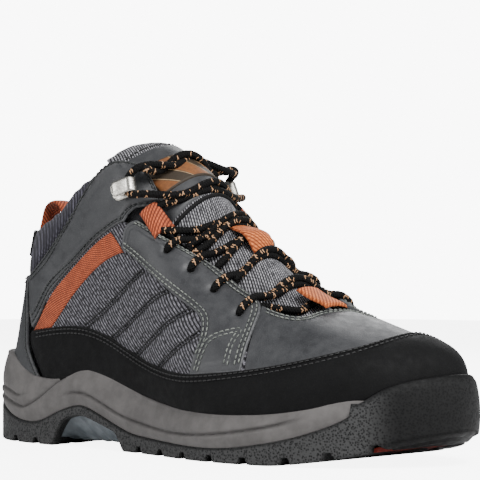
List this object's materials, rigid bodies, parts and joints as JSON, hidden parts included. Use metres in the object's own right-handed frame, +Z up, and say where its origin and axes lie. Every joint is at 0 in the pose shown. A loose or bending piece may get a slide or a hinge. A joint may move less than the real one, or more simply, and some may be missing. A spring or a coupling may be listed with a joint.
{
  "type": "hiking boot",
  "caption": "Mid-height lace-up hiking boot for the right foot: lugged rubber outsole, sculpted foam midsole, leather and mesh upper, padded collar, tongue, speed hooks and heel pull loop.",
  "frame": {"origin": "on the ground, in the middle of the footprint", "axes": "+X towards the toe, +Y towards the inside of the foot (medial side), +Z up"},
  "size_m": [0.3076, 0.1114, 0.1624],
  "materials": {
    "outsole_rubber": "fine stipple, matte",
    "insert_rubber": "matte",
    "midsole_foam": "moulded foam, matte",
    "shank_plastic": "satin, ribbed",
    "board_fibre": "compressed fibre board",
    "footbed_foam": "cloth-topped foam",
    "lining_textile": "brushed knit",
    "stiffener_plastic": "thermoformed sheet",
    "grey_leather": "waxed nubuck",
    "black_leather": "coated, low gloss",
    "grey_mesh": "ribbed woven mesh",
    "orange_webbing": "woven webbing",
    "collar_knit": "padded knit",
    "tongue_mesh": "padded spacer mesh",
    "label_leather": "embossed, plain pattern",
    "lace_cord": "round braid with light flecks",
    "hook_metal": "antique pewter, satin"
  },
  "bodies": {
    "boot": {"outsole": "outsole_rubber", "forefoot_insert": "insert_rubber", "midsole": "midsole_foam", "shank_plate": "shank_plastic", "lasting_board": "board_fibre", "lining_lateral": "lining_textile", "lining_medial": "lining_textile", "toe_puff": "stiffener_plastic", "heel_counter": "stiffener_plastic", "vamp": "grey_leather", "side_mesh_lateral": "grey_mesh", "side_mesh_medial": "grey_mesh", "eyestay_lateral": "grey_leather", "eyestay_medial": "grey_leather", "ankle_panel_lateral": "grey_leather", "ankle_panel_medial": "grey_leather", "accent_stripe_lateral": "orange_webbing", "accent_stripe_medial": "orange_webbing", "rand": "black_leather", "heel_strip": "grey_leather", "collar_padding": "collar_knit", "throat_tab": "orange_webbing", "lace_loop_lateral": "orange_webbing", "lace_loop_medial": "orange_webbing", "laces": "lace_cord", "speed_hook_lateral": "hook_metal", "speed_hook_medial": "hook_metal", "hook_rivets": "hook_metal"},
    "tongue_body": {"tongue": "tongue_mesh", "tongue_top_trim": "black_leather", "tongue_patch": "label_leather", "tongue_keeper": "orange_webbing"},
    "footbed_body": {"footbed": "footbed_foam"},
    "pull_loop_body": {"pull_loop": "orange_webbing"}
  },
  "joints": [
    {"name": "tongue_swing", "type": "hinge", "parent": "boot", "child": "tongue_body", "pos_m": [0.09, 0, 0.0588], "axis": [0, 1, 0], "range_deg": [-12, 0]},
    {"name": "footbed_lift", "type": "hinge", "parent": "boot", "child": "footbed_body", "pos_m": [0.14, 0, 0.032], "axis": [0, 1, 0], "range_deg": [0, 3.8]},
    {"name": "pull_loop_fold", "type": "hinge", "parent": "boot", "child": "pull_loop_body", "pos_m": [-0.1353, 0, 0.104], "axis": [0, 1, 0], "range_deg": [-50, 0]}
  ]
}
